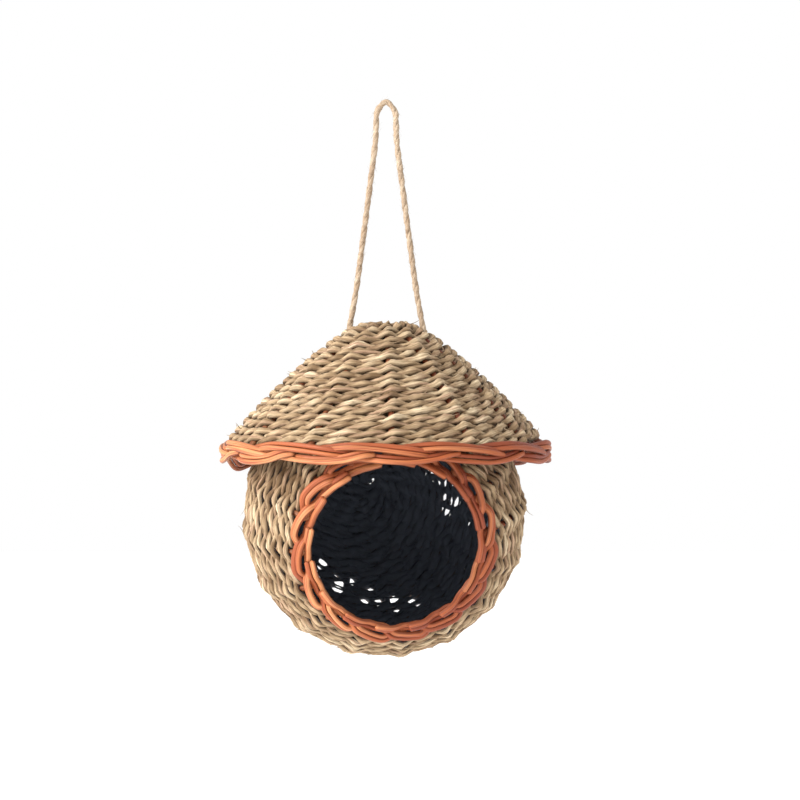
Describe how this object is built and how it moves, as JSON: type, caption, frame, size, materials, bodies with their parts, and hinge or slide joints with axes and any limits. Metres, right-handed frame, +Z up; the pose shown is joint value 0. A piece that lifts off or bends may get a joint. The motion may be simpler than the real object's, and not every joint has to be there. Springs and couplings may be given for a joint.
{
  "type": "woven hanging bird nest",
  "caption": "Round pot-shaped nest woven of seagrass cord, with a round front mouth, a cone roof, rolled orange reed borders and a jute hanging loop",
  "frame": {"origin": "the underside of the hanging cord's loop at its highest bend, where a hook or a twig bears", "axes": "+Z up along the line of hanging, -Y to the front, where the mouth opens, +X to the right of someone who looks into the mouth"},
  "size_m": [0.1598, 0.1598, 0.2695],
  "materials": {
    "seagrass": "twisted dry seagrass cord, straw beige with greenish and brown strands, matt",
    "reed": "peeled reed dyed orange, satin, with lengthwise grain and paler worn edges",
    "jute": "two-ply jute twine, tan, matt and slightly hairy"
  },
  "bodies": {
    "root": {"roof_weave": "seagrass", "pot_weave": "seagrass", "roof_reed_01": "reed", "roof_reed_02": "reed", "roof_reed_03": "reed", "roof_reed_04": "reed", "roof_reed_05": "reed", "roof_reed_06": "reed", "roof_reed_07": "reed", "roof_reed_08": "reed", "roof_reed_09": "reed", "roof_reed_10": "reed", "roof_reed_11": "reed", "roof_reed_12": "reed", "pot_reed_01": "reed", "pot_reed_02": "reed", "pot_reed_03": "reed", "pot_reed_04": "reed", "pot_reed_05": "reed", "pot_reed_06": "reed", "pot_reed_07": "reed", "pot_reed_08": "reed", "pot_reed_09": "reed", "pot_reed_10": "reed", "pot_reed_11": "reed", "pot_reed_12": "reed", "pot_reed_13": "reed", "pot_reed_14": "reed", "pot_reed_15": "reed", "pot_reed_16": "reed", "hanging_cord": "jute", "cord_knot_left": "jute", "cord_knot_right": "jute"}
  },
  "joints": []
}
